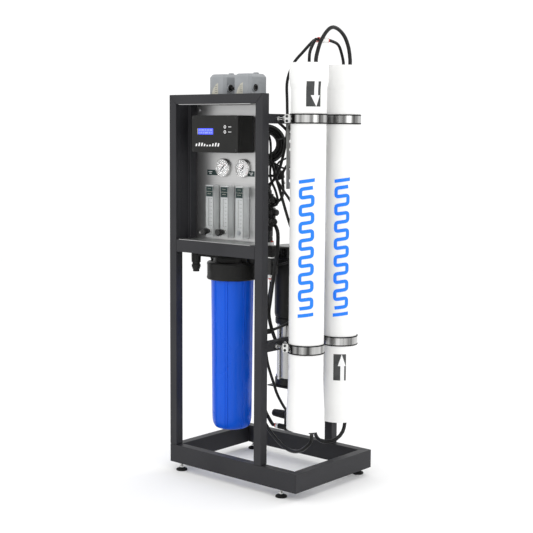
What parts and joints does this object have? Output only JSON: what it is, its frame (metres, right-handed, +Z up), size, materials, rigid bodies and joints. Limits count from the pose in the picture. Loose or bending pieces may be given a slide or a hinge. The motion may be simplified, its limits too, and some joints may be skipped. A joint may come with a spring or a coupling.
{
  "type": "reverse osmosis unit",
  "caption": "Floor-standing reverse osmosis water unit: steel frame with control panel, large blue water filter, booster pump and upright membrane vessels.",
  "frame": {"origin": "on the floor, below the middle of the unit's bounding box, with the feet resting on the floor", "axes": "+Z up, -Y towards the front of the control panel, +X towards the side that carries the membrane vessels"},
  "size_m": [0.55, 0.4, 1.4535],
  "materials": {
    "frame_paint": "fine satin dark grey powder coat",
    "stainless": "brushed stainless sheet",
    "black_plastic": "satin black plastic",
    "white_pvc": "smooth white plastic",
    "grey_cast": "satin grey plastic",
    "blue_plastic": "glossy blue plastic",
    "clear_acrylic": "clear polished acrylic",
    "white_plastic": "white plastic",
    "filter_media": "wound filter media",
    "motor_metal": "black painted die-cast aluminium",
    "black_rubber": "smooth black tubing",
    "foot_rubber": "black rubber pad on a zinc stud",
    "membrane_wrap": "glass fibre wrap over spiral membrane"
  },
  "bodies": {
    "unit": {"base_frame": "frame_paint", "clamp_lower_front": "stainless", "clamp_lower_rear": "stainless", "clamp_upper_front": "stainless", "clamp_upper_rear": "stainless", "concentrate_hose": "black_rubber", "concentrate_valve": "black_plastic", "control_box": "black_plastic", "control_cover": "black_plastic", "control_panel": "stainless", "end_plug_bottom_front": "black_plastic", "end_plug_bottom_rear": "black_plastic", "end_plug_top_front": "black_plastic", "end_plug_top_rear": "black_plastic", "feed_gauge": "stainless", "feed_hose": "black_rubber", "feed_loop_hose": "black_rubber", "filter_cartridge": "filter_media", "filter_head": "black_plastic", "flow_meter_1": "clear_acrylic", "flow_meter_2": "clear_acrylic", "flow_meter_3": "clear_acrylic", "flush_valve": "black_plastic", "front_post_left": "frame_paint", "front_post_right": "frame_paint", "high_pressure_switch": "grey_cast", "inlet_union": "black_plastic", "low_pressure_switch": "grey_cast", "membrane_front": "membrane_wrap", "membrane_gauge": "stainless", "membrane_rear": "membrane_wrap", "mid_rail": "frame_paint", "permeate_hose_front": "black_rubber", "permeate_hose_out": "black_rubber", "permeate_hose_rear": "black_rubber", "permeate_tee": "white_plastic", "power_coil": "black_rubber", "power_lead": "black_rubber", "power_plug": "black_rubber", "pump_body": "stainless", "pump_motor": "motor_metal", "rear_post": "frame_paint", "riser_hose": "black_rubber", "vessel_front": "white_pvc", "vessel_rear": "white_pvc"},
    "concentrate_knob": {"concentrate_knob": "black_plastic"},
    "feed_gauge_pointer": {"feed_gauge_pointer": "black_plastic"},
    "filter_sump": {"filter_sump": "blue_plastic"},
    "float_1": {"float_1": "stainless"},
    "float_2": {"float_2": "stainless"},
    "float_3": {"float_3": "stainless"},
    "flow_knob_1": {"flow_knob_1": "black_plastic"},
    "flow_knob_2": {"flow_knob_2": "black_plastic"},
    "levelling_foot_front_left": {"levelling_foot_front_left": "foot_rubber"},
    "levelling_foot_front_right": {"levelling_foot_front_right": "foot_rubber"},
    "levelling_foot_rear_left": {"levelling_foot_rear_left": "foot_rubber"},
    "levelling_foot_rear_right": {"levelling_foot_rear_right": "foot_rubber"},
    "membrane_gauge_pointer": {"membrane_gauge_pointer": "black_plastic"},
    "start_button": {"start_button": "white_plastic"},
    "stop_button": {"stop_button": "white_plastic"}
  },
  "joints": [
    {"name": "foot_front_left_height", "type": "slide", "parent": "unit", "child": "levelling_foot_front_left", "axis": [0, 0, 1], "range_m": [-0.015, 0.009]},
    {"name": "foot_front_right_height", "type": "slide", "parent": "unit", "child": "levelling_foot_front_right", "axis": [0, 0, 1], "range_m": [-0.015, 0.009]},
    {"name": "foot_rear_left_height", "type": "slide", "parent": "unit", "child": "levelling_foot_rear_left", "axis": [0, 0, 1], "range_m": [-0.015, 0.009]},
    {"name": "foot_rear_right_height", "type": "slide", "parent": "unit", "child": "levelling_foot_rear_right", "axis": [0, 0, 1], "range_m": [-0.015, 0.009]},
    {"name": "start_button_press", "type": "slide", "parent": "unit", "child": "start_button", "axis": [0, 1, 0], "range_m": [0, 0.0015], "stiffness_N_per_m": 600},
    {"name": "stop_button_press", "type": "slide", "parent": "unit", "child": "stop_button", "axis": [0, 1, 0], "range_m": [0, 0.0015], "stiffness_N_per_m": 600},
    {"name": "feed_gauge_pointer_sweep", "type": "hinge", "parent": "unit", "child": "feed_gauge_pointer", "pos_m": [-0.114, -0.116, 1.011], "axis": [0, 1, 0], "range_deg": [0, 270], "stiffness_Nm_per_rad": 0.002},
    {"name": "membrane_gauge_pointer_sweep", "type": "hinge", "parent": "unit", "child": "membrane_gauge_pointer", "pos_m": [-0.029, -0.116, 1.011], "axis": [0, 1, 0], "range_deg": [0, 270], "stiffness_Nm_per_rad": 0.002},
    {"name": "float_1_rise", "type": "slide", "parent": "unit", "child": "float_1", "axis": [0, 0, 1], "range_m": [0, 0.1]},
    {"name": "float_2_rise", "type": "slide", "parent": "unit", "child": "float_2", "axis": [0, 0, 1], "range_m": [0, 0.1]},
    {"name": "float_3_rise", "type": "slide", "parent": "unit", "child": "float_3", "axis": [0, 0, 1], "range_m": [0, 0.1]},
    {"name": "flow_knob_1_turn", "type": "hinge", "parent": "unit", "child": "flow_knob_1", "pos_m": [-0.15, -0.1388, 0.8065], "axis": [0, 1, 0], "range_deg": [-360, 360]},
    {"name": "flow_knob_2_turn", "type": "hinge", "parent": "unit", "child": "flow_knob_2", "pos_m": [-0.085, -0.1388, 0.8065], "axis": [0, 1, 0], "range_deg": [-360, 360]},
    {"name": "filter_sump_unscrew", "type": "hinge", "parent": "unit", "child": "filter_sump", "pos_m": [-0.132, -0.0465, 0.426], "axis": [0, 0, -1], "range_deg": [0, 360]},
    {"name": "concentrate_knob_turn", "type": "hinge", "parent": "unit", "child": "concentrate_knob", "pos_m": [0.024, 0.0535, 0.188], "axis": [1, 0, 0], "range_deg": [-360, 360]}
  ]
}
